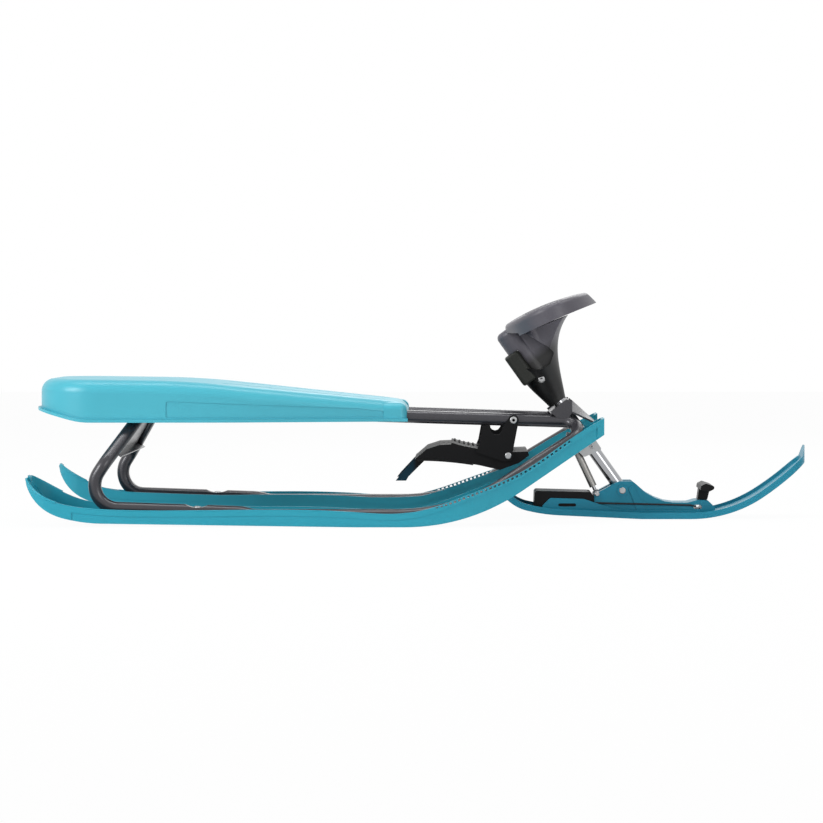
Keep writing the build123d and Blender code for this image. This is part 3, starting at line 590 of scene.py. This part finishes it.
# grip bars across the top of the brake pedal, each with a row of teeth
tread = {
    "xs": (0.058, 0.066, 0.074, 0.082, 0.09, 0.098), "y": 0.012, "above": 0.25, "ahead": 0.002,
    "half": 0.034, "bar": (0.0032, 0.0026), "barExtra": 0.006, "barSink": 0.4, "barWide": 1.5,
    "tooth": 0.0045, "toothWide": 0.62, "toothTall": 1.6, "round": 0.0006,
}
bars = []
barDeep, barTall = tread["bar"]
teethCount = int(2 * tread["half"] / tread["tooth"]) + 1
for x in tread["xs"]:
    place = landOn("brake_pedal", (x, tread["y"], tread["above"]), straightDown)
    ahead = landOn("brake_pedal", (x + tread["ahead"], tread["y"], tread["above"]), straightDown)
    lean = math.atan2(place.z - ahead.z, tread["ahead"])
    bpy.ops.object.select_all(action="DESELECT")
    toothSize = (barDeep, tread["tooth"] * tread["toothWide"], barTall * tread["toothTall"])
    tooth = addBlock(toothSize, (0, -tread["half"], 0), tread["round"])
    applyModifier(
        tooth, "ARRAY", "teeth", count=teethCount, use_relative_offset=False,
        use_constant_offset=True, constant_offset_displace=(0, tread["tooth"], 0))
    barSize = (barDeep * tread["barWide"], 2 * tread["half"] + tread["barExtra"], barTall)
    bar = addBlock(barSize, (0, 0, -barTall * tread["barSink"]), tread["round"])
    tooth.select_set(True)
    bpy.context.view_layer.objects.active = tooth
    bpy.ops.object.join()
    tooth.rotation_euler = (0, lean, 0)
    tooth.location = (x, 0, place.z)
    bars.append(tooth)
finishPiece(joinAll(bars), "pedalTread", brakeCoat, "brake")

# rolled lower lip on each side of the pedal, as x and z along its side
pedalLip = {
    "points": ((-0.006, 0.1045), (0.01, 0.1052), (0.036, 0.1042), (0.066, 0.1012), (0.09, 0.0972)),
    "thick": 0.0021, "inset": 0.0004,
}
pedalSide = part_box("brake_pedal")[1][1] - pedalLip["inset"]
for side, sideName in ((1, "left"), (-1, "right")):
    roll = sweepRound([(x, side * pedalSide, z) for x, z in pedalLip["points"]], pedalLip["thick"], 12, 4)
    finishPiece(roll, "pedalLip_" + sideName, brakeCoat, "brake")
print("pedal finished")

# pale floor that meets a pale backdrop, both white to the camera and to glossy reflections
studio = {"floorSize": 16.0, "paper": "#f7f8f9", "floorGlow": 0.965, "ambient": 0.36}
whiteLight = (1, 1, 1, 1)
bpy.ops.mesh.primitive_plane_add(size=studio["floorSize"], location=(0, 0, 0))
floor = bpy.context.object
floor.name = "studioFloor"
paper, paperShader, _ = newMaterial("whitePaper")
paperShader.inputs["Base Color"].default_value = toLinear(studio["paper"])
paperShader.inputs["Roughness"].default_value = 0.9
floor.data.materials.append(paper)


# most for what the camera sees straight or by reflection, 0 for what only lights the sled
def whiteShare(owner, most):
    sight = addNode(owner, "ShaderNodeLightPath").outputs
    either = addNode(
        owner, "ShaderNodeMath", {"operation": "MAXIMUM"},
        links={0: sight["Is Camera Ray"], 1: sight["Is Glossy Ray"]})
    share = addNode(owner, "ShaderNodeMath", {"operation": "MULTIPLY"}, {1: most}, {0: either.outputs[0]})
    return share.outputs[0]


# the paper glows towards white but keeps part of the sled's shadow
paperGlow = addNode(paper, "ShaderNodeEmission", inputs={"Color": whiteLight, "Strength": 1.0})
paperMix = addNode(paper, "ShaderNodeMixShader", links={
    "Fac": whiteShare(paper, studio["floorGlow"]),
    1: paperShader.outputs["BSDF"], 2: paperGlow.outputs["Emission"],
})
link(paper, paperMix.outputs["Shader"], paper.node_tree.nodes["Material Output"], "Surface")

world = bpy.data.worlds.new("studioWorld")
bpy.context.scene.world = world
world.use_nodes = True
sky = world.node_tree.nodes["Background"]
sky.inputs["Color"].default_value = whiteLight
sky.inputs["Strength"].default_value = studio["ambient"]
white = addNode(world, "ShaderNodeBackground", inputs={"Color": whiteLight, "Strength": 1.0})
choose = addNode(world, "ShaderNodeMixShader", links={
    "Fac": whiteShare(world, 1.0), 1: sky.outputs["Background"], 2: white.outputs["Background"],
})
link(world, choose.outputs["Shader"], world.node_tree.nodes["World Output"], "Surface")

# a long strip overhead draws the bright line along the tubes; the key stands behind the rider's right
lamps = [
    {"name": "strip", "place": (0.0, -0.15, 1.9), "size": (2.6, 0.4), "power": 19},
    {"name": "key", "place": (-2.4, -1.9, 1.3), "size": (1.4, 1.2), "power": 50},
    {"name": "frontFill", "place": (1.8, -2.6, 1.2), "size": (1.4, 1.2), "power": 18},
    {"name": "rear", "place": (0.6, 2.4, 1.8), "size": (2.0, 1.2), "power": 20},
]
sledMiddle = Vector((0.0, 0.0, 0.15))
for lamp in lamps:
    bpy.ops.object.light_add(type="AREA", location=lamp["place"])
    lampObject = bpy.context.object
    lampObject.name = lamp["name"]
    lampObject.data.shape = "RECTANGLE"
    lampObject.data.size, lampObject.data.size_y = lamp["size"]
    lampObject.data.energy = lamp["power"]
    aim = sledMiddle - Vector(lamp["place"])
    lampObject.rotation_euler = aim.to_track_quat("-Z", "Y").to_euler()
print("studio lit")
